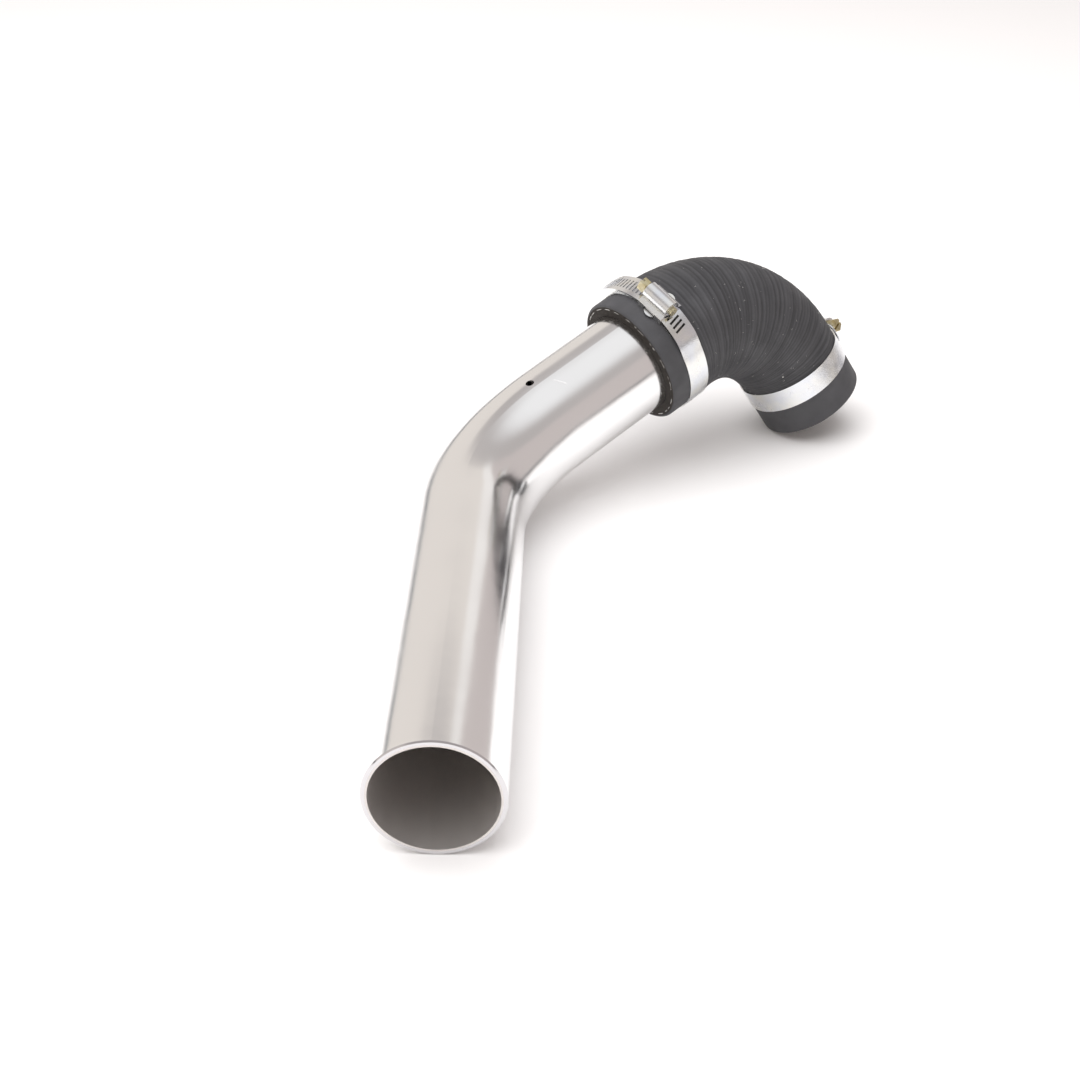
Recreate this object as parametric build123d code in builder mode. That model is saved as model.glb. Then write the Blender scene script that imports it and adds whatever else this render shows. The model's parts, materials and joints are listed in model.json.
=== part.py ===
"""Car air intake: a bent aluminium tube, a wrapped rubber reducing elbow and two worm-drive hose clamps.

The origin is the centre of the inlet's end face. The inlet leg runs along +Y and lies on the floor,
+Z is up, and the rim of the rubber elbow is the second thing that rests on the floor.
"""

import math
import os

from build123d import *

os.makedirs("parts", exist_ok=True)

# Tube, in millimetres and degrees
tube_od = 63.5
tube_wall = 3.0
tube_edge = 0.6
inlet_leg = 220.0
bend_radius = 114.0
bend_angle = 54.0
second_leg = 92.0
port_diameter = 5.0
port_station = 51.5
port_turn = 75.5

# Rubber elbow: a straight cuff on the tube, a bend that narrows, and a straight outlet
hose_wall = 7.8
hose_fit = 0.1
outlet_bore = 50.8
tube_insertion = 28.0
cuff_length = 30.0
elbow_radius = 73.0
elbow_angle = 81.0
elbow_clocking = 87.0
outlet_length = 35.0
hose_edge = 1.6
wrap_lines = 16
wrap_depth = 0.4
wrap_round = 3.0

# Worm-drive clamps: one strip and one screw size for both
strip_width = 14.2
strip_thickness = 0.7
layer_play = 0.1
slot_pitch = 3.0
slot_width = 1.3
slot_length = 8.0
slot_slant = 12.0
slots_past_housing = 4
strip_climb = 14.0
tail_radius = 52.0
tail_plain_end = 6.0
tail_corner = 5.0
saddle_thickness = 0.8
saddle_length = 15.0
ear_radius = 4.6
ear_reach = 3.6
housing_length = 19.0
housing_sheet = 0.9
housing_play = 0.3
housing_edge = 0.5
shoulder_height = 1.3
shoulder_rise = 1.0
window_height = 1.6
thread_od = 8.6
thread_depth = 1.0
thread_bite = 0.6
barrel_play = 0.3
journal_diameter = 5.4
journal_play = 0.08
screw_end_play = 0.2
screw_overhang = 2.0
collar_diameter = 8.0
collar_height = 1.0
head_flats = 8.0
head_height = 5.0
head_edge = 0.5
driver_slot_width = 1.3
driver_slot_depth = 2.0

# Where each clamp sits: its edge from the end of the hose, its turn from the outside of the elbow,
# and how much of its strip is left over as a tail
tube_clamp_inset = 12.0
tube_clamp_turn = -42.0
tube_clamp_tail = 48.0
outlet_clamp_inset = 20.0
outlet_clamp_turn = -16.0
outlet_clamp_tail = 12.0

# Sizes that follow from those above
tube_radius = tube_od / 2
cuff_bore_radius = tube_radius + hose_fit
cuff_radius = cuff_bore_radius + hose_wall
outlet_bore_radius = outlet_bore / 2
outlet_radius = outlet_bore_radius + hose_wall


def heading(plane, degrees):
    """Direction in a plane, turned from its x axis towards its y axis."""
    turn = math.radians(degrees)
    return plane.x_dir * math.cos(turn) + plane.y_dir * math.sin(turn)


def bend_end(plane, run, radius, degrees):
    """Point at the end of a straight run and a tangent bend that start at the plane's origin."""
    turn = math.radians(degrees)
    ahead = run + radius * math.sin(turn)
    aside = radius * (1 - math.cos(turn))
    return plane.from_local_coords((ahead, aside, 0))


def tube_bend_plane(roll):
    """Plane of the tube's bend, with x along the inlet leg, for a roll about that leg."""
    turn = math.radians(roll)
    return Plane(origin=(0, 0, 0), x_dir=(0, 1, 0), z_dir=(math.sin(turn), 0, -math.cos(turn)))


def elbow_bend_plane(tube_plane):
    """Plane of the elbow's bend, with its origin at the cuff's end face and x into the cuff."""
    along = heading(tube_plane, bend_angle)
    inward = heading(tube_plane, bend_angle + 90)
    reach = second_leg - tube_insertion
    face = bend_end(tube_plane, inlet_leg, bend_radius, bend_angle) + along * reach
    clocking = math.radians(elbow_clocking)
    aside = inward * math.cos(clocking) + tube_plane.z_dir * math.sin(clocking)
    return Plane(origin=face, x_dir=along, z_dir=along.cross(aside))


def rim_height(roll):
    """Height of the elbow's rim above the floor that the inlet leg lies on."""
    elbow_plane = elbow_bend_plane(tube_bend_plane(roll))
    facing = heading(elbow_plane, elbow_angle)
    rim = bend_end(elbow_plane, cuff_length, elbow_radius, elbow_angle) + facing * outlet_length
    rounding = rim - facing * hose_edge
    lowest = rounding.Z - (outlet_radius - hose_edge) * math.sqrt(1 - facing.Z**2) - hose_edge
    return lowest + tube_radius


# The tube rolls about its inlet leg until the rim of the elbow comes down on the floor.
roll_low, roll_high = -20.0, 70.0
for step in range(50):
    roll_middle = (roll_low + roll_high) / 2
    if rim_height(roll_middle) > 0:
        roll_high = roll_middle
    else:
        roll_low = roll_middle
rest_roll = (roll_low + roll_high) / 2

tube_plane = tube_bend_plane(rest_roll)
elbow_plane = elbow_bend_plane(tube_plane)
second_direction = heading(tube_plane, bend_angle)
second_start = bend_end(tube_plane, inlet_leg, bend_radius, bend_angle)
outlet_direction = heading(elbow_plane, elbow_angle)
outlet_start = bend_end(elbow_plane, cuff_length, elbow_radius, elbow_angle)
outlet_end = outlet_start + outlet_direction * outlet_length

# The tube: one ring swept along the two legs and the bend, with its inlet edge broken
with BuildPart() as intake_tube:
    with BuildLine(tube_plane) as tube_path:
        inlet_run = Line((0, 0), (inlet_leg, 0))
        bend_run = JernArc(inlet_run @ 1, inlet_run % 1, bend_radius, bend_angle)
        Line(bend_run @ 1, bend_run @ 1 + (bend_run % 1) * second_leg)
    with BuildSketch(Plane(origin=(0, 0, 0), z_dir=(0, 1, 0))):
        Circle(tube_radius)
        Circle(tube_radius - tube_wall, mode=Mode.SUBTRACT)
    sweep(path=tube_path.wires()[0])
    inlet_rims = intake_tube.faces().sort_by(Axis.Y)[0].edges()
    chamfer(inlet_rims.sort_by(SortBy.LENGTH)[-1], tube_edge)
    # a small tapped port on the upper side, square to the wall at the end of the bend
    port_centre = bend_end(tube_plane, inlet_leg, bend_radius, port_station)
    port_inward = heading(tube_plane, port_station + 90)
    port_tilt = math.radians(port_turn)
    port_axis = port_inward * math.cos(port_tilt) - tube_plane.z_dir * math.sin(port_tilt)
    with BuildSketch(Plane(origin=port_centre, z_dir=port_axis)):
        Circle(port_diameter / 2)
    extrude(amount=tube_od, mode=Mode.SUBTRACT)

intake_tube.part.label = "intake_tube"
export_step(intake_tube.part, "parts/intake_tube.step")

# The rubber elbow: the same three stretches for the outside and then for the bore
cuff_end = elbow_plane.from_local_coords((cuff_length, 0, 0))
with BuildPart() as elbow_hose:
    with BuildLine(elbow_plane) as elbow_path:
        JernArc((cuff_length, 0), (1, 0), elbow_radius, elbow_angle)
    stretches = (
        (cuff_radius, outlet_radius, Mode.ADD),
        (cuff_bore_radius, outlet_bore_radius, Mode.SUBTRACT),
    )
    for wide, narrow, way in stretches:
        with BuildSketch(Plane(origin=elbow_plane.origin, z_dir=second_direction)):
            Circle(wide)
        extrude(amount=cuff_length, mode=way)
        with BuildSketch(Plane(origin=cuff_end, x_dir=elbow_plane.z_dir, z_dir=second_direction)):
            Circle(wide)
        with BuildSketch(Plane(origin=outlet_start, x_dir=elbow_plane.z_dir, z_dir=outlet_direction)):
            Circle(narrow)
        sweep(path=elbow_path.wires()[0], multisection=True, mode=way)
        with BuildSketch(Plane(origin=outlet_start, z_dir=outlet_direction)):
            Circle(narrow)
        extrude(amount=outlet_length, mode=way)
    for end in (elbow_plane.origin, outlet_end):
        end_face = elbow_hose.faces().filter_by(GeomType.PLANE).sort_by_distance(end)[0]
        fillet(end_face.edges().sort_by(SortBy.LENGTH)[-1], hose_edge)
    # the lines that the moulding cloth leaves round the bend
    for number in range(wrap_lines):
        share = (number + 0.5) / wrap_lines
        turn = elbow_angle * share
        middle = bend_end(elbow_plane, cuff_length, elbow_radius, turn)
        skin = cuff_radius + (outlet_radius - cuff_radius) * share
        with Locations(Plane(origin=middle, z_dir=heading(elbow_plane, turn))):
            Torus(skin + wrap_round - wrap_depth, wrap_round, mode=Mode.SUBTRACT)

elbow_hose.part.label = "elbow_hose"
export_step(elbow_hose.part, "parts/elbow_hose.step")


def polar(radius, degrees):
    """Point at a radius and an angle in a clamp's own plane."""
    angle = math.radians(degrees)
    return Vector(radius * math.cos(angle), radius * math.sin(angle))


def arc_degrees(length, radius):
    """Angle that an arc of a given length covers."""
    return math.degrees(length / radius)


def ring_plane(centre, facing, outside, turn):
    """Plane of a clamp's ring: x points at its housing, and the screw's head lies towards y."""
    angle = math.radians(turn)
    housing = outside * math.cos(angle) + facing.cross(outside) * math.sin(angle)
    return Plane(origin=centre, x_dir=housing, z_dir=facing)


# Both clamps are alike but for the hose that they close on.
elbow_outside = -heading(elbow_plane, 90)
outlet_outside = -heading(elbow_plane, elbow_angle + 90)
tube_clamp_centre = elbow_plane.origin + second_direction * (tube_clamp_inset + strip_width / 2)
outlet_clamp_centre = outlet_end - outlet_direction * (outlet_clamp_inset + strip_width / 2)
tube_ring = ring_plane(tube_clamp_centre, -second_direction, elbow_outside, tube_clamp_turn)
outlet_ring = ring_plane(outlet_clamp_centre, outlet_direction, outlet_outside, outlet_clamp_turn)
clamps = (
    ("tube_clamp", tube_ring, cuff_radius, tube_clamp_tail),
    ("outlet_clamp", outlet_ring, outlet_radius, outlet_clamp_tail),
)

for clamp, ring, hose_radius, tail_length in clamps:
    # The layers under the screw, from the hose outwards: fixed end of the strip, saddle, slotted strip.
    inner_middle = hose_radius + layer_play + strip_thickness / 2
    saddle_inside = inner_middle + strip_thickness / 2 + layer_play
    outer_middle = saddle_inside + saddle_thickness + layer_play + strip_thickness / 2
    strip_top = outer_middle + strip_thickness / 2
    screw_height = strip_top + thread_od / 2 - thread_bite
    half_housing = housing_length / 2

    # The strip starts under the housing, goes once round the hose, climbs over its own start,
    # passes under the screw a second time and leaves as a free tail below the screw's head.
    run_on = half_housing + (slots_past_housing + 0.5) * slot_pitch
    run_on_angle = arc_degrees(run_on, outer_middle)
    climb_angle = run_on_angle + arc_degrees(strip_climb, outer_middle)
    start_angle = run_on_angle - arc_degrees(slot_pitch / 2, outer_middle)
    leave_angle = math.degrees(math.asin(half_housing / outer_middle))
    tail_angle = arc_degrees(tail_length, tail_radius)
    tail_centre = polar(outer_middle - tail_radius, leave_angle)
    tail_tip = tail_centre + polar(tail_radius, leave_angle + tail_angle)
    passage_slots = int((run_on + half_housing) / slot_pitch)
    tail_slots = int((tail_length - tail_plain_end) / slot_pitch)
    slot_depth = strip_thickness + layer_play
    slot_angle = arc_degrees(slot_pitch, outer_middle)
    tail_slot_angle = arc_degrees(slot_pitch, tail_radius)
    first_tail_slot = leave_angle + tail_slot_angle / 2
    with BuildPart(ring) as band:
        with BuildSketch(ring):
            with BuildLine():
                CenterArc((0, 0), inner_middle, -start_angle, 360 - climb_angle + start_angle)
                climb_ends = (polar(inner_middle, -climb_angle), polar(outer_middle, -run_on_angle))
                climb_headings = (polar(1, 90 - climb_angle), polar(1, 90 - run_on_angle))
                Spline(*climb_ends, tangents=climb_headings)
                CenterArc((0, 0), outer_middle, -run_on_angle, run_on_angle + leave_angle)
                CenterArc(tail_centre, tail_radius, leave_angle, tail_angle)
            trace(line_width=strip_thickness)
        extrude(amount=strip_width / 2, both=True)
        tip_point = ring.from_local_coords(tail_tip)
        tip_edges = band.edges().filter_by(lambda edge: edge.length < 1.01 * strip_thickness)
        fillet(tip_edges.sort_by_distance(tip_point)[:2], tail_corner)
        passage_start = leave_angle - (passage_slots - 0.5) * slot_angle
        with PolarLocations(outer_middle, passage_slots, passage_start, passage_slots * slot_angle):
            Box(slot_depth, slot_width, slot_length, rotation=(slot_slant, 0, 0), mode=Mode.SUBTRACT)
        with Locations(tail_centre):
            with PolarLocations(tail_radius, tail_slots, first_tail_slot, tail_slots * tail_slot_angle):
                Box(slot_depth, slot_width, slot_length, rotation=(slot_slant, 0, 0), mode=Mode.SUBTRACT)

    band.part.label = f"{clamp}_band"
    export_step(band.part, f"parts/{clamp}_band.step")

    # The saddle lies between the two layers and holds the housing by a half-moon ear on each side.
    with BuildPart() as saddle:
        with BuildSketch(ring):
            Circle(saddle_inside + saddle_thickness)
            Circle(saddle_inside, mode=Mode.SUBTRACT)
        extrude(amount=strip_width / 2 + ear_reach, both=True)
        with BuildSketch(Plane(origin=ring.origin, x_dir=ring.y_dir, z_dir=ring.x_dir)):
            Rectangle(saddle_length, strip_width)
            with Locations((0, strip_width / 2 + ear_reach - ear_radius)):
                Circle(ear_radius)
            with Locations((0, ear_radius - ear_reach - strip_width / 2)):
                Circle(ear_radius)
        extrude(amount=2 * hose_radius, mode=Mode.INTERSECT)

    saddle.part.label = f"{clamp}_saddle"
    export_step(saddle.part, f"parts/{clamp}_saddle.step")

    # The housing is a stamped arch: skirts beside the strip, sloping shoulders and a round barrel.
    barrel_half = thread_od / 2 + barrel_play + housing_sheet
    skirt_half = strip_width / 2 + housing_play + housing_sheet
    shoulder = strip_top + shoulder_height
    below = hose_radius - housing_length / 4
    section = Plane(origin=ring.origin, x_dir=ring.z_dir, z_dir=ring.y_dir)
    with BuildPart() as housing:
        with BuildSketch(section) as arch:
            with BuildLine():
                barrel_side = ((barrel_half, screw_height), (barrel_half, shoulder + shoulder_rise))
                Polyline(*barrel_side, (skirt_half, shoulder), (skirt_half, below), (0, below))
                mirror(about=Plane.YZ)
                CenterArc((0, screw_height), barrel_half, 0, 180)
            make_face()
            fillet(arch.vertices().group_by(Axis.Y)[1], housing_edge)
        extrude(amount=half_housing, both=True)
        with BuildSketch(section):
            offset(arch.sketch_local, amount=-housing_sheet)
        extrude(amount=half_housing - housing_sheet, both=True, mode=Mode.SUBTRACT)
        with BuildSketch(ring):
            Circle(strip_top + layer_play)
        extrude(amount=strip_width / 2 + housing_play, both=True, mode=Mode.SUBTRACT)
        with BuildSketch(ring):
            Circle(hose_radius + layer_play)
        extrude(amount=strip_width, both=True, mode=Mode.SUBTRACT)
        with BuildSketch(section):
            with Locations((0, screw_height)):
                Circle(journal_diameter / 2 + journal_play)
        extrude(amount=housing_length, both=True, mode=Mode.SUBTRACT)
        window_foot = math.sqrt(saddle_inside**2 - ear_radius**2) - layer_play
        window_middle = ring.from_local_coords((window_foot + window_height / 2, 0, 0))
        with BuildSketch(Plane(origin=window_middle, x_dir=ring.y_dir, z_dir=ring.z_dir)):
            Rectangle(2 * (ear_radius + housing_play), window_height)
        extrude(amount=strip_width, both=True, mode=Mode.SUBTRACT)

    housing.part.label = f"{clamp}_housing"
    export_step(housing.part, f"parts/{clamp}_housing.step")

    # The worm screw: a turned core between two journals, a collar and a slotted hexagon head
    screw_origin = ring.from_local_coords((screw_height, 0, 0))
    axial = Plane(origin=screw_origin, x_dir=ring.x_dir, z_dir=ring.z_dir)
    core_end = half_housing - housing_sheet - screw_end_play
    collar_start = half_housing + screw_end_play
    head_start = collar_start + collar_height
    head_end = head_start + head_height
    core_radius = thread_od / 2 - thread_depth
    journal_radius = journal_diameter / 2
    with BuildPart() as screw:
        with BuildSketch(axial):
            with Locations((0, -half_housing - screw_overhang)):
                Rectangle(journal_radius, head_start + half_housing + screw_overhang, align=Align.MIN)
            with Locations((0, -core_end)):
                Rectangle(core_radius, 2 * core_end, align=Align.MIN)
            with Locations((0, collar_start)):
                Rectangle(collar_diameter / 2, collar_height, align=Align.MIN)
        revolve(axis=Axis(screw_origin, ring.y_dir))
        head_plane = Plane(origin=screw_origin + ring.y_dir * head_start, x_dir=ring.z_dir, z_dir=ring.y_dir)
        with BuildSketch(head_plane):
            RegularPolygon(head_flats / 2, 6, major_radius=False)
        extrude(amount=head_height)
        top_face = screw.faces().sort_by(Axis(screw_origin, ring.y_dir))[-1]
        chamfer(top_face.edges(), head_edge)
        with BuildSketch(head_plane.offset(head_height - driver_slot_depth)):
            Rectangle(driver_slot_width, 2 * head_flats)
        extrude(amount=2 * driver_slot_depth, mode=Mode.SUBTRACT)

    screw.part.label = f"{clamp}_screw"
    export_step(screw.part, f"parts/{clamp}_screw.step")
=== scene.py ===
# %% [markdown]
# # A car air intake, dressed for the studio
#
# The real thing is a bent, polished aluminium tube with a black rubber elbow pushed over its far end.
# Two steel worm-drive clamps go with it: one squeezes the elbow onto the tube, the other waits on the
# elbow's free end. The solids come from the CAD frame, in metres, and stay exactly where they are.
# This lesson gives them their finishes, and makes the things that CAD leaves plain: the cloth-wrapped
# rubber, the cut threads in its ends, the lint, painted shade in a clamp's slots, a white dash, the screw
# threads, the floor, the light and the camera.

# %% Load the frame
import json
import math
import random

import bpy
from mathutils import Matrix, Vector, noise


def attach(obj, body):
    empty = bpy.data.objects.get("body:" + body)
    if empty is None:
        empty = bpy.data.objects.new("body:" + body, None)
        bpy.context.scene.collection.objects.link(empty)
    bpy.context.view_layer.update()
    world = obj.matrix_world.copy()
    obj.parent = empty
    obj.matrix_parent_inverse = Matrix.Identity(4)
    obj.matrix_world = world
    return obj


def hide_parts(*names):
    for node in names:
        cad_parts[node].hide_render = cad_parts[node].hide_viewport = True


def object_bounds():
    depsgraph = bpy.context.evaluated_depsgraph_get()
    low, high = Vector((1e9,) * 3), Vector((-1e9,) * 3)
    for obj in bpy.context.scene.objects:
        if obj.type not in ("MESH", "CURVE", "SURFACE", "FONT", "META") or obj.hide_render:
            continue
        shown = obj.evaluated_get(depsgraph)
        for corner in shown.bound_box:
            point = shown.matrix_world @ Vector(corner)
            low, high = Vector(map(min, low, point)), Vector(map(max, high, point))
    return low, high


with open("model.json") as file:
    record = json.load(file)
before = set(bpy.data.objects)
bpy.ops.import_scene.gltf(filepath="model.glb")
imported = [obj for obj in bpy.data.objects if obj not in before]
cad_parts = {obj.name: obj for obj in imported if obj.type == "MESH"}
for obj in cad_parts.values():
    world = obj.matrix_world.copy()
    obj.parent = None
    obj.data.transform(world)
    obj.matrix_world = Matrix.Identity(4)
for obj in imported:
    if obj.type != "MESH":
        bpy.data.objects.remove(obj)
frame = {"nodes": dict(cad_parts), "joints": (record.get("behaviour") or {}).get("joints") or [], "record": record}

cad_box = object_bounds()
nodes = frame["nodes"]
print("nodes:", sorted(nodes))
print("CAD box:", [[round(v, 4) for v in corner] for corner in cad_box])

# %% [markdown]
# ## Where the rubber elbow runs
#
# The elbow is a straight cuff, a bend that narrows, and a straight outlet. Everything that is made for it
# here follows that line, so the line comes first. The sizes are the designer's own, in metres. Only one
# thing is missing: how far the part is rolled over on the floor. The record knows where the outlet is, and
# rolling about the inlet leg (the Y axis) is a plain rotation, so the two are compared to find the angle.

# %% The elbow's line
MM = 0.001
inlet_leg = 220.0 * MM
tube_bend_radius = 114.0 * MM
tube_bend = math.radians(54.0)
second_leg_to_cuff = 64.0 * MM
cuff_length = 30.0 * MM
elbow_radius = 73.0 * MM
elbow_bend = math.radians(81.0)
elbow_clocking = math.radians(87.0)
outlet_length = 35.0 * MM
bend_length = elbow_radius * elbow_bend
elbow_length = cuff_length + bend_length + outlet_length

ahead, aside, down = Vector((0, 1, 0)), Vector((1, 0, 0)), Vector((0, 0, -1))
cuff_heading = ahead * math.cos(tube_bend) + aside * math.sin(tube_bend)
cuff_aside = aside * math.cos(tube_bend) - ahead * math.sin(tube_bend)
cuff_inward = cuff_aside * math.cos(elbow_clocking) + down * math.sin(elbow_clocking)
cuff_face = ahead * (inlet_leg + tube_bend_radius * math.sin(tube_bend))
cuff_face += aside * tube_bend_radius * (1 - math.cos(tube_bend))
cuff_face += cuff_heading * second_leg_to_cuff


def elbow_line(s):
    """Point, heading and inward direction of the elbow's line, s metres from the cuff's face."""
    turn = min(max((s - cuff_length) / elbow_radius, 0.0), elbow_bend)
    cos, sin = math.cos(turn), math.sin(turn)
    heading = cuff_heading * cos + cuff_inward * sin
    inward = cuff_inward * cos - cuff_heading * sin
    point = cuff_face + cuff_heading * (min(s, cuff_length) + elbow_radius * sin)
    point += cuff_inward * elbow_radius * (1 - cos)
    point += heading * max(s - cuff_length - bend_length, 0.0)
    return point, heading, inward


mounts = {mount["name"]: mount for mount in frame["record"]["mounts"]}
outlet = Vector(mounts["outlet"]["pos_m"])
flat = elbow_line(elbow_length - outlet_length / 2)[0]
roll = math.atan2(outlet.z, outlet.x) - math.atan2(flat.z, flat.x)
rolled = Matrix.Rotation(-roll, 3, "Y")
cuff_face = rolled @ cuff_face
cuff_heading = rolled @ cuff_heading
cuff_inward = rolled @ cuff_inward
elbow_side = cuff_heading.cross(cuff_inward)
miss = (elbow_line(elbow_length - outlet_length / 2)[0] - outlet).length
print(f"rolled {math.degrees(roll):.2f} degrees, outlet found within {miss * 1e6:.0f} micrometres")


def pointing(inward, turn):
    """Direction away from the line, turned from its inward direction towards the elbow's side."""
    return inward * math.cos(turn) + elbow_side * math.sin(turn)

# %% [markdown]
# ## The wrapped rubber
#
# The elbow was cured under a winding of wet cloth tape. Each edge of the tape left a lap line across the
# bend, never quite straight, and the weave of the cloth is printed all over. The skin is one closed
# surface of rings: out over the cut end, along the outside, in over the other end and back down the bore.
# The laps only press inwards, so the clamps keep their hold and the outline stays the designer's. The main
# laps lie on the solid's own wrap lines, and two fainter ones stand between each pair.

# %% Lap lines and skin height
cuff_bore, outlet_bore = 31.85 * MM, 25.4 * MM
hose_wall = 7.8 * MM
hose_edge = 1.6 * MM
wrap_lines = 16
deepest_lap = 0.48 * MM
around = 150
chance = random.Random(11)


def taper(s, wide, narrow):
    """Radius at a station: wide on the cuff, narrow on the outlet, and even in between."""
    share = min(max((s - cuff_length) / bend_length, 0.0), 1.0)
    return wide + (narrow - wide) * share


def lap_line(station, depth):
    """One lap: its depth, and its wandering station for every segment around the elbow."""
    seed = chance.uniform(0, 50)
    sway = chance.uniform(0.3, 0.8) * MM
    path = []
    for j in range(around):
        turn = math.tau * j / around
        spot = Vector((math.cos(turn), math.sin(turn), seed))
        path.append(station + sway * noise.noise(spot * 1.3) + 0.25 * MM * noise.noise(spot * 6.0))
    return depth, path


laps = []
pitch = bend_length / wrap_lines
for number in range(-1, wrap_lines + 1):
    station = cuff_length + pitch * (number + 0.5)
    laps.append(lap_line(station, chance.uniform(0.30, 0.42) * MM))
    for share in (0.33, 0.66):
        faint = station + pitch * (share + chance.uniform(-0.09, 0.09))
        laps.append(lap_line(faint, chance.uniform(0.16, 0.34) * MM))


def sunk(s, j):
    """How far the skin lies below its full radius at a station and a segment."""
    depth = 0.0
    for full, path in laps:
        away = s - path[j]
        if -2.0 * MM < away < 4.5 * MM:
            width = 0.45 * MM if away < 0 else 0.9 * MM
            depth += full * math.exp(-((away / width) ** 2))
    return min(depth, deepest_lap)


print(f"{len(laps)} lap lines, {pitch / MM:.2f} mm between the main ones")

# %% [markdown]
# The profile is a list of stations with a radius and a kind: skin, cut end or bore. Every station becomes a
# ring of points, and neighbouring rings are joined with quads. Only the edges where a cut end meets the bore
# are left sharp.

# %% Skin of rings
SKIN, CUT, BORE = 0, 1, 2
end_steps, edge_steps, bore_steps = 8, 6, 60
ring_gap = 0.62 * MM
flat_end = hose_wall - hose_edge
straight_run = elbow_length - 2 * hose_edge
skin_steps = int(straight_run / ring_gap)


def edge_round(k):
    """How far back from the end face, and how high on the wall, a step of the rounded edge lies."""
    turn = math.pi / 2 * k / edge_steps
    return hose_edge * (1 - math.cos(turn)), hose_wall - hose_edge * (1 - math.sin(turn))


profile = []
for k in range(end_steps + 1):
    profile.append((0.0, cuff_bore + flat_end * k / end_steps, CUT))
for k in range(1, edge_steps):
    back, rise = edge_round(k)
    profile.append((back, cuff_bore + rise, SKIN))
for k in range(skin_steps + 1):
    s = hose_edge + straight_run * k / skin_steps
    profile.append((s, taper(s, cuff_bore, outlet_bore) + hose_wall, SKIN))
for k in range(edge_steps - 1, 0, -1):
    back, rise = edge_round(k)
    profile.append((elbow_length - back, outlet_bore + rise, SKIN))
for k in range(end_steps, -1, -1):
    profile.append((elbow_length, outlet_bore + flat_end * k / end_steps, CUT))
for k in range(bore_steps - 1, 0, -1):
    s = elbow_length * k / bore_steps
    profile.append((s, taper(s, cuff_bore, outlet_bore), BORE))

points, depths = [], []
for s, radius, kind in profile:
    middle, _, inward = elbow_line(s)
    for j in range(around):
        outward = pointing(inward, math.tau * j / around)
        depth = sunk(s, j) if kind == SKIN and s > hose_edge else 0.0
        points.append(middle + outward * (radius - depth))
        depths.append(depth / deepest_lap)

faces, kinds, sharp_rings = [], [], set()
rings = len(profile)
for i in range(rings):
    after = (i + 1) % rings
    pair = (profile[i][2], profile[after][2])
    kind = CUT if pair == (CUT, CUT) else SKIN
    kind = BORE if BORE in pair else kind
    if sorted(pair) == [CUT, BORE]:
        sharp_rings.add(i if pair[0] == CUT else after)
    for j in range(around):
        beside = (j + 1) % around
        here, there = i * around, after * around
        faces.append((here + j, here + beside, there + beside, there + j))
        kinds.append(kind)


def new_piece(name, points, faces, body):
    """A mesh object in the row frame that moves with a CAD body."""
    mesh = bpy.data.meshes.new(name)
    mesh.from_pydata([tuple(p) for p in points], [], faces)
    mesh.polygons.foreach_set("use_smooth", [True] * len(mesh.polygons))
    mesh.update()
    piece = bpy.data.objects.new(name, mesh)
    bpy.context.collection.objects.link(piece)
    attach(piece, body)
    print(f"{name}: {len(mesh.polygons)} faces")
    return piece


elbow_skin = new_piece("elbow_skin", points, faces, "duct")
elbow_skin.data.polygons.foreach_set("material_index", kinds)
lap_depth = elbow_skin.data.attributes.new("lap_depth", "FLOAT", "POINT")
lap_depth.data.foreach_set("value", depths)
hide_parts("elbow_hose")
for edge in elbow_skin.data.edges:
    start, end = (v // around for v in edge.vertices)
    edge.use_edge_sharp = start == end and start in sharp_rings
along_around = elbow_skin.data.uv_layers.new(name="along_around")
for face in elbow_skin.data.polygons:
    j = face.vertices[0] % around
    for corner, vertex in zip(face.loop_indices, face.vertices):
        s, radius, kind = profile[vertex // around]
        column = j if vertex % around == j else j + 1
        along_around.data[corner].uv = (radius if kind == CUT else s, column / around)

# %% [markdown]
# ## Cut threads and lint
#
# Where the rubber was cut to length, the ends of its woven layer show as a broken pale line in the end
# face. Each thread is a narrow ribbon with a low ridge along its middle.

# %% Ribbons and cut threads
def ribbon(path, normals, width, points, faces):
    """Adds a narrow raised strip along a path to the lists of points and faces."""
    first = len(points)
    for k, (spot, normal) in enumerate(zip(path, normals)):
        before, after = path[max(k - 1, 0)], path[min(k + 1, len(path) - 1)]
        across = normal.cross((after - before).normalized()) * width / 2
        points.extend((spot - across, spot + normal * width * 0.4, spot + across))
    for k in range(len(path) - 1):
        a = first + 3 * k
        faces.append((a, a + 3, a + 4, a + 1))
        faces.append((a + 1, a + 4, a + 5, a + 2))


ply_share = 0.62
bends = 5
thread_points, thread_faces = [], []
for s, bore_radius, facing_out in ((0.0, cuff_bore, -1), (elbow_length, outlet_bore, 1)):
    middle, heading, inward = elbow_line(s)
    normal = heading * facing_out
    turn = 0.0
    while turn < math.tau:
        length = chance.uniform(0.02, 0.16)
        path = []
        radius = bore_radius + hose_wall * ply_share + chance.uniform(-0.2, 0.2) * MM
        for k in range(bends + 1):
            outward = pointing(inward, turn + length * k / bends)
            jitter = chance.uniform(-0.1, 0.1) * MM
            path.append(middle + outward * (radius + jitter) + normal * 0.02 * MM)
        width = chance.uniform(0.2, 0.45) * MM
        ribbon(path, [normal] * len(path), width, thread_points, thread_faces)
        turn += length + chance.uniform(0.01, 0.22)
ply_threads = new_piece("ply_threads", thread_points, thread_faces, "duct")

# %% [markdown]
# Rubber gathers lint: short bent fibres and flat specks. Two of the specks are placed where the photograph
# shows them, and the rest are scattered by chance, with the same seed every time.

# %% Fibres and specks
fibres, small_specks, speck_corners = 130, 60, 7
lint_start, lint_end = 24, 138
usual_radius = 36.0 * MM


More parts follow.
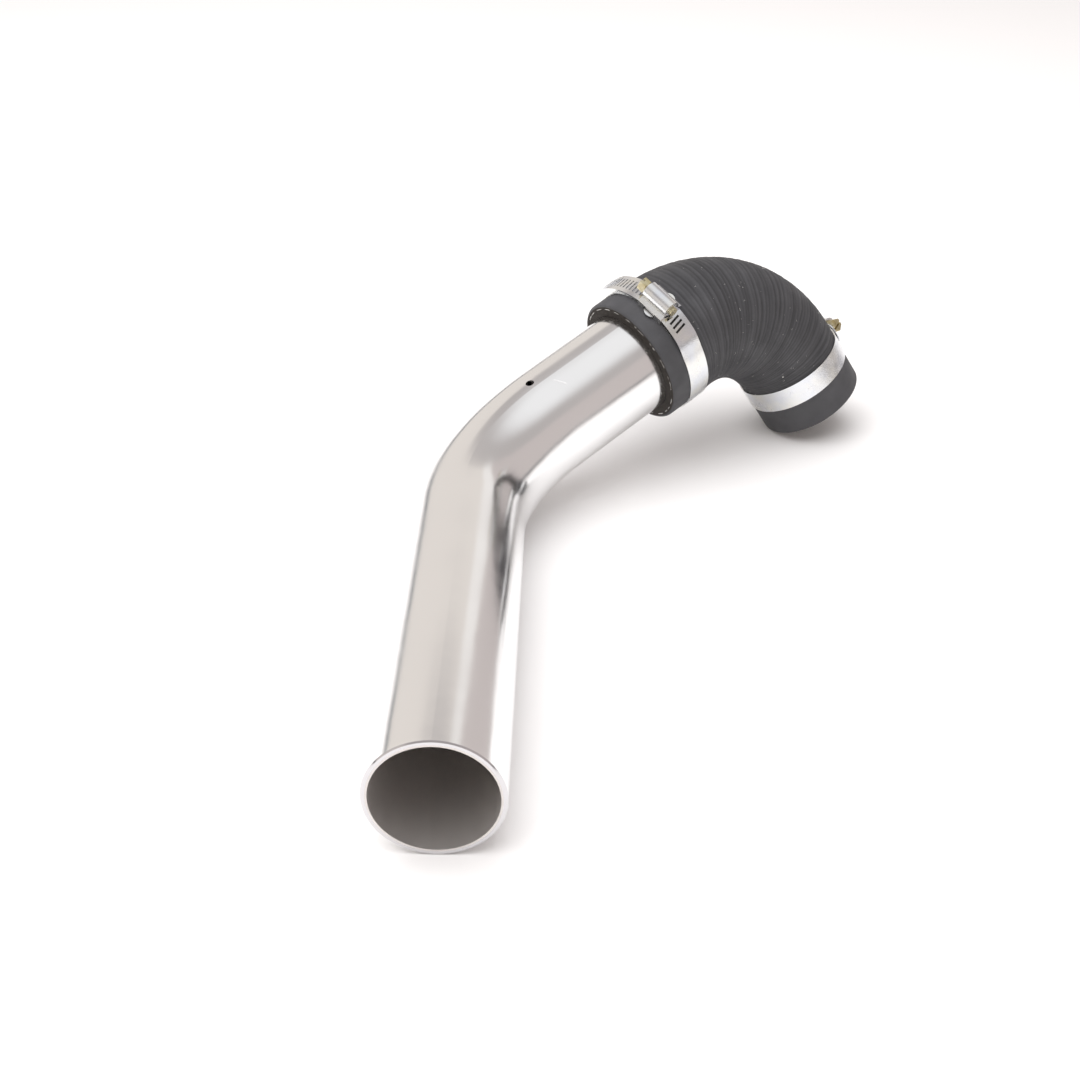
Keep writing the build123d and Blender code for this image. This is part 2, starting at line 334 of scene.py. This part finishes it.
def on_skin(s, turn):
    """Point on the skin and the direction out of it."""
    middle, _, inward = elbow_line(s)
    outward = pointing(inward, turn)
    j = int(turn / math.tau * around) % around
    return middle + outward * (taper(s, cuff_bore, outlet_bore) + hose_wall - sunk(s, j)), outward


lint_points, lint_faces = [], []
for _ in range(fibres):
    s, turn = chance.uniform(lint_start, lint_end) * MM, chance.uniform(0, math.tau)
    way, curl = chance.uniform(0, math.tau), chance.uniform(-1.5, 1.5)
    length, width = chance.uniform(0.3, 1.6) * MM, chance.uniform(0.07, 0.16) * MM
    path, normals = [], []
    for _ in range(bends + 1):
        spot, normal = on_skin(s, turn)
        path.append(spot + normal * 0.03 * MM)
        normals.append(normal)
        s += math.cos(way) * length / bends
        turn += math.sin(way) * length / bends / usual_radius
        way += curl / bends
    ribbon(path, normals, width, lint_points, lint_faces)
specks = [(122.0 * MM, math.radians(310.5), 0.62 * MM), (43.5 * MM, math.radians(334.0), 0.40 * MM)]
for _ in range(small_specks):
    s, turn = chance.uniform(lint_start, lint_end) * MM, chance.uniform(0, math.tau)
    specks.append((s, turn, chance.uniform(0.08, 0.2) * MM))
for s, turn, size in specks:
    middle, normal = on_skin(s, turn)
    across = normal.cross(elbow_line(s)[1])
    start = len(lint_points)
    for corner in range(speck_corners):
        angle = math.tau * corner / speck_corners
        reach = across * math.cos(angle) + across.cross(normal) * math.sin(angle)
        lint_points.append(middle + reach * size * chance.uniform(0.6, 1.1) + normal * 0.06 * MM)
    lint_faces.append(tuple(range(start, start + speck_corners)))
lint = new_piece("lint", lint_points, lint_faces, "duct")

# %% [markdown]
# ## Painted slot shade and a white dash
#
# Two small things catch the eye. The slots past the housing lie in shade, and the shade is painted: a black
# sheet between the two layers of the strip shows through them. And a bright white dash, a few millimetres
# long, lies on the second leg of the tube, beside its port.

# %% Painted slot shade and a white dash
joints = {joint["name"]: joint for joint in frame["joints"]}
clamp_middle = Vector(joints["tube_clamp_screw_turn"]["pos_m"]) - cuff_face
clamp_station = clamp_middle.dot(cuff_heading)
clamp_turn = math.atan2(clamp_middle.dot(elbow_side), clamp_middle.dot(cuff_inward))
# Painted shade: a black sheet just under the strip's outer layer, seen only through the slots past the housing.
gap_radius_mm = 41.15
half_width = 6.6 * MM
first_degrees, over_degrees, shade_steps = 14.0, 17.0, 24
shade_points, shade_faces = [], []
for k in range(shade_steps + 1):
    turn = clamp_turn + math.radians(first_degrees + over_degrees * k / shade_steps)
    outward = pointing(cuff_inward, turn)
    for edge in (-half_width, half_width):
        station = clamp_station + edge
        shade_points.append(cuff_face + cuff_heading * station + outward * gap_radius_mm * MM)
for k in range(shade_steps):
    shade_faces.append((2 * k, 2 * k + 1, 2 * k + 3, 2 * k + 2))
slot_shade_sheet = new_piece("painted_slot_shade", shade_points, shade_faces, "duct")

tube_radius = 31.75 * MM
dash_lift = 0.01 * MM
# A bright white dash on the second leg, beside the port.
dash_steps = 8
leg_start = cuff_face - cuff_heading * second_leg_to_cuff
dash_path, dash_normals = [], []
for k in range(dash_steps + 1):
    share = k / dash_steps
    outward = pointing(cuff_inward, math.radians(213.0 + 12.3 * share))
    along = (6.2 + 4.0 * share) * MM
    dash_path.append(leg_start + cuff_heading * along + outward * (tube_radius + dash_lift))
    dash_normals.append(outward)
dash_points, dash_faces = [], []
ribbon(dash_path, dash_normals, 0.28 * MM, dash_points, dash_faces)
white_dash = new_piece("tube_white_dash", dash_points, dash_faces, "duct")

# %% [markdown]
# ## Worm threads
#
# Each clamp is drawn tight by a worm: a coarse thread on a short screw that runs in the strip's slots. The
# solid screw is a plain barrel. The thread is a ridge wound round it, low enough to clear the strip, and
# it rides on the screw's own body, so it turns when the screw turns.

# %% Thread ridges
worm_pitch = 3.0 * MM
worm_length = 15.0 * MM
per_turn = 40
ridge = ((3.28, -0.75), (3.64, -0.3), (3.64, 0.3), (3.28, 0.75))


def worm_thread(name, body):
    """A helical ridge round a screw's axis."""
    joint = joints[body + "_turn"]
    axis, middle = Vector(joint["axis"]).normalized(), Vector(joint["pos_m"])
    start = axis.orthogonal().normalized()
    other = axis.cross(start)
    points, faces = [], []
    turns = worm_length / worm_pitch
    count = int(turns * per_turn)
    for k in range(count + 1):
        angle = math.tau * k / per_turn
        rise = (k / per_turn - turns / 2) * worm_pitch
        outward = start * math.cos(angle) + other * math.sin(angle)
        for radius, shift in ridge:
            points.append(middle + outward * radius * MM + axis * (rise + shift * MM))
    for k in range(count):
        for c in range(4):
            d = (c + 1) % 4
            faces.append((4 * k + c, 4 * k + d, 4 * k + 4 + d, 4 * k + 4 + c))
    faces.append((3, 2, 1, 0))
    faces.append(tuple(4 * count + c for c in range(4)))
    thread = new_piece(name, points, faces, body)
    return thread


tube_worm = worm_thread("tube_clamp_worm", "tube_clamp_screw")
outlet_worm = worm_thread("outlet_clamp_worm", "outlet_clamp_screw")

# %% [markdown]
# ## Finishes
#
# All finishes are procedural: nodes work them out, and no picture is loaded. A few helpers keep the
# node-building short.

# %% Helpers for nodes
def add(tree, kind, inputs=None, **settings):
    """A new node with settings, and with a value or a link on each of the inputs given."""
    made = tree.nodes.new(kind)
    for name, value in settings.items():
        setattr(made, name, value)
    for key, value in (inputs or {}).items():
        if isinstance(value, bpy.types.NodeSocket):
            tree.links.new(value, made.inputs[key])
        else:
            made.inputs[key].default_value = value
    return made


def math_node(tree, operation, first, second=0.0):
    """The result of one sum on two numbers or sockets."""
    return add(tree, "ShaderNodeMath", {0: first, 1: second}, operation=operation).outputs[0]


def new_group(name, values, results):
    """A shader group with number inputs and number results, and its two ends."""
    tree = bpy.data.node_groups.new(name, "ShaderNodeTree")
    for label, start in values.items():
        socket = tree.interface.new_socket(label, in_out="INPUT", socket_type="NodeSocketFloat")
        socket.default_value = start
    for label in results:
        tree.interface.new_socket(label, in_out="OUTPUT", socket_type="NodeSocketFloat")
    return tree, add(tree, "NodeGroupInput").outputs, add(tree, "NodeGroupOutput").inputs


def spread(tree, value, low, high):
    """Noise stretched out, so that it fills the range from low to high."""
    return add(tree, "ShaderNodeMapRange", {"Value": value, 1: 0.35, 2: 0.65, 3: low, 4: high}).outputs[0]


# %% [markdown]
# Three effects are shared, each as a small node group that gives a plain value: soft patches, drawn
# hairlines, and the print of woven cloth. The shader itself stays in each material, so it is easy to see
# what a material is made of.

# %% Shared effects
patches, given, result = new_group("soft_patches", {"Scale": 30.0, "Low": 0.0, "High": 1.0}, ["Value"])
place = add(patches, "ShaderNodeTexCoord").outputs["Object"]
cloud = add(patches, "ShaderNodeTexNoise", {"Vector": place, "Scale": given["Scale"], "Detail": 4.0})
patches.links.new(spread(patches, cloud.outputs[0], given["Low"], given["High"]), result["Value"])

hairlines, given, result = new_group("hairlines", {"Fine": 900.0, "Low": 0.0, "High": 1.0}, ["Value"])
place = add(hairlines, "ShaderNodeTexCoord").outputs["Object"]
squeeze = add(hairlines, "ShaderNodeMapping", {"Vector": place, "Scale": (1.0, 0.03, 1.0)})
fine = {"Vector": squeeze.outputs[0], "Scale": given["Fine"], "Detail": 2.0}
lines = add(hairlines, "ShaderNodeTexNoise", fine)
hairlines.links.new(spread(hairlines, lines.outputs[0], given["Low"], given["High"]), result["Value"])

weave, given, result = new_group("woven_print", {"Thread_mm": 0.85, "Threads_round": 270.0}, ["Height"])
along_round = add(weave, "ShaderNodeUVMap", uv_map="along_around").outputs[0]
parts = add(weave, "ShaderNodeSeparateXYZ", {0: along_round}).outputs
place = add(weave, "ShaderNodeTexCoord").outputs["Object"]
waver = add(weave, "ShaderNodeTexNoise", {"Vector": place, "Scale": 120.0, "Detail": 2.0}).outputs[0]
bent = math_node(weave, "MULTIPLY", waver, 9.0)
per_metre = math_node(weave, "DIVIDE", math.tau * 1000.0, given["Thread_mm"])
warp_angle = math_node(weave, "ADD", math_node(weave, "MULTIPLY", parts[0], per_metre), bent)
round_turns = math_node(weave, "MULTIPLY", given["Threads_round"], math.tau)
weft_angle = math_node(weave, "ADD", math_node(weave, "MULTIPLY", parts[1], round_turns), bent)
warp = math_node(weave, "SINE", warp_angle)
weft = math_node(weave, "SINE", weft_angle)
crossing = {0: math_node(weave, "MULTIPLY", warp, weft), 1: 0.25, 2: 0.5}
woven = add(weave, "ShaderNodeMath", crossing, operation="MULTIPLY_ADD").outputs[0]
worn = add(weave, "ShaderNodeTexNoise", {"Vector": place, "Scale": 55.0, "Detail": 5.0}).outputs[0]
left = spread(weave, worn, 0.0, 1.0)
weave.links.new(math_node(weave, "MULTIPLY", woven, left), result["Height"])
print("groups:", sorted(group.name for group in bpy.data.node_groups))

# %% [markdown]
# ### Metals
#
# The tube is polished outside and left as drawn inside. Its inside shows only at the open end, where the
# tube runs along Y, so the distance from the Y axis tells the two apart. The clamps are bright zinc on
# steel, and their screws are zinc with a yellow chromate film that is never quite even.

# %% Metal materials
def new_material(name):
    """A material with a single principled shader, and its tree."""
    material = bpy.data.materials.new(name)
    material.use_nodes = True
    return material, material.node_tree, material.node_tree.nodes["Principled BSDF"]


def grouped(tree, group, **values):
    """The results of a shared group with these inputs."""
    made = add(tree, "ShaderNodeGroup", node_tree=group)
    for name, value in values.items():
        made.inputs[name].default_value = value
    return made.outputs


def mixed(tree, share, first, second):
    """A colour between two, by a share."""
    made = add(tree, "ShaderNodeMix", {"Factor": share}, data_type="RGBA")
    for socket, colour in zip(made.inputs[6:8], (first, second)):
        if isinstance(colour, bpy.types.NodeSocket):
            tree.links.new(colour, socket)
        else:
            socket.default_value = (*colour, 1.0)
    return made.outputs[2]


def painted(tree, shader, share, first, second):
    """Gives the shader a colour between two, by a share."""
    tree.links.new(mixed(tree, share, first, second), shader.inputs["Base Color"])


def uneven(tree, shader, scale, low, high):
    """Gives the shader a roughness that varies in soft patches."""
    patchy = grouped(tree, patches, Scale=scale, Low=low, High=high)
    tree.links.new(patchy["Value"], shader.inputs["Roughness"])


def bumped(tree, shader, height, strength, distance):
    """Gives the shader fine relief from a height."""
    inputs = {"Height": height, "Strength": strength, "Distance": distance}
    tree.links.new(add(tree, "ShaderNodeBump", inputs).outputs[0], shader.inputs["Normal"])


polished, tree, shader = new_material("polished_aluminium")
place = add(tree, "ShaderNodeTexCoord").outputs["Object"]
spot = add(tree, "ShaderNodeSeparateXYZ", {0: place}).outputs
squares = math_node(tree, "POWER", spot[0], 2.0), math_node(tree, "POWER", spot[2], 2.0)
off_axis = math_node(tree, "SQRT", math_node(tree, "ADD", *squares))
in_bore = math_node(tree, "LESS_THAN", off_axis, 29.7 * MM)
in_leg = math_node(tree, "LESS_THAN", spot[1], 222.0 * MM)
inside = math_node(tree, "MULTIPLY", in_bore, in_leg)
smears = grouped(tree, patches, Scale=26.0, Low=0.13, High=0.20)["Value"]
drawn = grouped(tree, hairlines, Fine=240.0, Low=0.40, High=0.48)["Value"]
roughness = add(tree, "ShaderNodeMix", {0: inside, 2: smears, 3: drawn}).outputs[0]
tree.links.new(roughness, shader.inputs["Roughness"])
rim = math_node(tree, "LESS_THAN", spot[1], 0.8 * MM)
outside = mixed(tree, rim, (0.90, 0.90, 0.90), (0.66, 0.65, 0.665))
painted(tree, shader, inside, outside, (0.70, 0.67, 0.65))
ripple = add(tree, "ShaderNodeTexNoise", {"Vector": place, "Scale": 38.0, "Detail": 2.0}).outputs[0]
bumped(tree, shader, ripple, 0.06, 2.0 * MM)
dull = math_node(tree, "MULTIPLY", inside, 0.25)
tree.links.new(math_node(tree, "SUBTRACT", 1.0, dull), shader.inputs["Metallic"])

zinc, tree, shader = new_material("bright_zinc")
tint = grouped(tree, patches, Scale=90.0)["Value"]
painted(tree, shader, tint, (0.74, 0.76, 0.80), (0.83, 0.83, 0.80))
uneven(tree, shader, 160.0, 0.16, 0.30)
bumped(tree, shader, grouped(tree, hairlines, Fine=1500.0)["Value"], 0.08, 0.2 * MM)
shader.inputs["Metallic"].default_value = 1.0

yellow, tree, shader = new_material("yellow_zinc")
film = grouped(tree, patches, Scale=220.0)["Value"]
painted(tree, shader, film, (0.46, 0.38, 0.20), (0.62, 0.57, 0.40))
uneven(tree, shader, 300.0, 0.20, 0.38)
shader.inputs["Metallic"].default_value = 1.0

# %% [markdown]
# ### Rubber
#
# Three rubbers are on one elbow: the cloth-printed skin, the cut end, which is browner and grainy, and the
# smooth bore. The weave lifts the skin by a few hundredths of a millimetre, and the high threads are a
# little paler, as dust stays on them. The lap lines are darker the deeper they lie.

# %% Rubber materials
skin, tree, shader = new_material("wrapped_rubber")
print_of_cloth = grouped(tree, weave)
dust = grouped(tree, patches, Scale=42.0, Low=0.0, High=0.8)["Value"]
pale = math_node(tree, "MULTIPLY", dust, print_of_cloth["Height"])
cloth = mixed(tree, pale, (0.058, 0.058, 0.063), (0.115, 0.116, 0.125))
lap = add(tree, "ShaderNodeAttribute", attribute_name="lap_depth").outputs["Fac"]
lap_shade = math_node(tree, "MULTIPLY", lap, 0.85)
painted(tree, shader, lap_shade, cloth, (0.012, 0.012, 0.013))
uneven(tree, shader, 70.0, 0.58, 0.78)
bumped(tree, shader, print_of_cloth["Height"], 0.7, 0.12 * MM)

cut, tree, shader = new_material("cut_rubber")
grain = grouped(tree, patches, Scale=900.0)["Value"]
painted(tree, shader, grain, (0.016, 0.013, 0.011), (0.040, 0.033, 0.028))
bumped(tree, shader, grain, 0.6, 0.2 * MM)
shader.inputs["Roughness"].default_value = 0.85


def plain(name, scale, first, second, roughness):
    """A material with two mottled colours and an even roughness."""
    material, tree, shader = new_material(name)
    painted(tree, shader, grouped(tree, patches, Scale=scale)["Value"], first, second)
    shader.inputs["Roughness"].default_value = roughness
    return material


bore = plain("smooth_bore", 60.0, (0.018, 0.018, 0.019), (0.03, 0.03, 0.031), 0.55)

# %% [markdown]
# ### Painted shade and small marks
#
# The painted slot shade is almost black, the white dash is bright, and lint and cut threads are pale.

# %% Finishes of the painted shade and the small marks
# Painted shade: the near-black finish of the sheet that darkens the strip's slots.
slot_shade_black = plain("painted_shade_black", 300.0, (0.010, 0.010, 0.010), (0.022, 0.020, 0.018), 0.7)
dash_finish = plain("bright_white_dash", 500.0, (0.86, 0.86, 0.86), (1.0, 1.0, 1.0), 0.8)
fluff = plain("lint_and_thread", 400.0, (0.42, 0.41, 0.39), (0.80, 0.79, 0.76), 0.95)

# %% [markdown]
# Every solid and every added piece now takes its finish. The solids' shapes aren't touched: only their
# material slots are filled.

# %% Hand out the finishes
def dress(piece, *materials):
    """Gives a piece these materials, in order."""
    while len(piece.material_slots) < len(materials):
        piece.data.materials.append(None)
    for slot, material in zip(piece.material_slots, materials):
        slot.link = "OBJECT"
        slot.material = material


for name, node in nodes.items():
    finish = yellow if name.endswith("screw") else zinc
    finish = polished if name == "intake_tube" else finish
    finish = skin if name == "elbow_hose" else finish
    dress(node, finish)
dress(elbow_skin, skin, cut, bore)
dress(ply_threads, fluff)
dress(lint, fluff)
# The sheet under the slots takes its painted shade.
dress(slot_shade_sheet, slot_shade_black)
dress(white_dash, dash_finish)
dress(tube_worm, yellow)
dress(outlet_worm, yellow)
print("dressed", len(nodes), "solids and 7 pieces")

# %% [markdown]
# ## Floor, light and camera
#
# A white floor runs out of the picture on every side. The light is a studio with pale walls: ahead and to
# the left is a warm off-white wall that ends in a brighter strip, and to the right, past a straight edge, a
# greyer one. On both sides a dark line marks where the walls meet the floor. The ceiling is grey at its
# edges and white overhead. A polished tube is a mirror, so those few surfaces are what gives it its long
# straight reflections.

# %% Floor and studio
scene = bpy.context.scene
scene.view_settings.view_transform = "Standard"
floor_height = cad_box[0][2]
span = 6.0
corners = [(-span, -span), (span, -span), (span, span), (-span, span)]
floor_mesh = bpy.data.meshes.new("floor")
floor_mesh.from_pydata([(x, y, floor_height) for x, y in corners], [], [(0, 1, 2, 3)])
floor = bpy.data.objects.new("floor", floor_mesh)
bpy.context.collection.objects.link(floor)
white, tree, shader = new_material("white_floor")
shader.inputs["Base Color"].default_value = (0.93, 0.925, 0.925, 1.0)
shader.inputs["Roughness"].default_value = 0.9
shader.inputs["Specular IOR Level"].default_value = 0.1
dress(floor, white)

studio = bpy.data.worlds.new("studio")
scene.world = studio
studio.use_nodes = True
tree = studio.node_tree
direction = add(tree, "ShaderNodeTexCoord").outputs["Generated"]
facing = add(tree, "ShaderNodeSeparateXYZ", {0: direction}).outputs
bearing = math_node(tree, "ARCTAN2", facing[0], facing[1])


def rising(value, start, end):
    """A smooth step from 0 to 1 between two values."""
    inputs = {"Value": value, 1: start, 2: end}
    return add(tree, "ShaderNodeMapRange", inputs, interpolation_type="SMOOTHSTEP").outputs[0]


right_wall = rising(bearing, 0.445, 0.495)
strip = math_node(tree, "SUBTRACT", rising(bearing, 0.25, 0.33), right_wall)
wall = mixed(tree, strip, (0.81, 0.755, 0.71), (0.92, 0.885, 0.86))
wall = mixed(tree, right_wall, wall, (0.60, 0.54, 0.525))
dark = math_node(tree, "SUBTRACT", rising(facing[2], 0.0, 0.02), rising(facing[2], 0.05, 0.09))
dark_left = math_node(tree, "MULTIPLY", dark, rising(bearing, 0.0, -0.25))
wall = mixed(tree, dark_left, wall, (0.17, 0.19, 0.21))
dark_right = math_node(tree, "MULTIPLY", dark, rising(bearing, 0.70, 0.95))
wall = mixed(tree, dark_right, wall, (0.30, 0.29, 0.29))
ceiling = mixed(tree, rising(facing[2], 0.76, 0.97), (0.50, 0.465, 0.455), (0.93, 0.925, 0.93))
colour = mixed(tree, rising(facing[2], 0.56, 0.66), wall, ceiling)
tree.links.new(colour, tree.nodes["Background"].inputs["Color"])

# %% [markdown]
# The ceiling lamp is a wide soft panel. It lights the floor and the rubber, but it is kept out of mirrors,
# as the studio's panel was out of the tube's view.

# %% Ceiling panel
panel = bpy.data.objects.new("panel", bpy.data.lights.new("panel", "AREA"))
bpy.context.collection.objects.link(panel)
panel.data.size = 2.2
panel.data.energy = 34.0
panel.location = (-0.35, 0.1, 1.5)
lit_spot = Vector((0.1, 0.25, 0.0))
panel.rotation_euler = (lit_spot - panel.location).to_track_quat("-Z", "Y").to_euler()
panel.visible_glossy = False

# %% [markdown]
# The camera stands where the photographer's did: half a metre back from the open end and a little less than
# that above the floor, looking down along the first leg.

# %% Camera
camera = bpy.data.objects.new("camera", bpy.data.cameras.new("camera"))
bpy.context.collection.objects.link(camera)
camera.location = (0.056647, -0.500447, 0.444025)
looking = Vector((-0.01962874, 0.84741272, -0.53057177))
camera.rotation_euler = looking.to_track_quat("-Z", "Y").to_euler()
camera.data.lens = 51.867
camera.data.sensor_width = 36.0
camera.data.clip_start = 0.01
scene.camera = camera
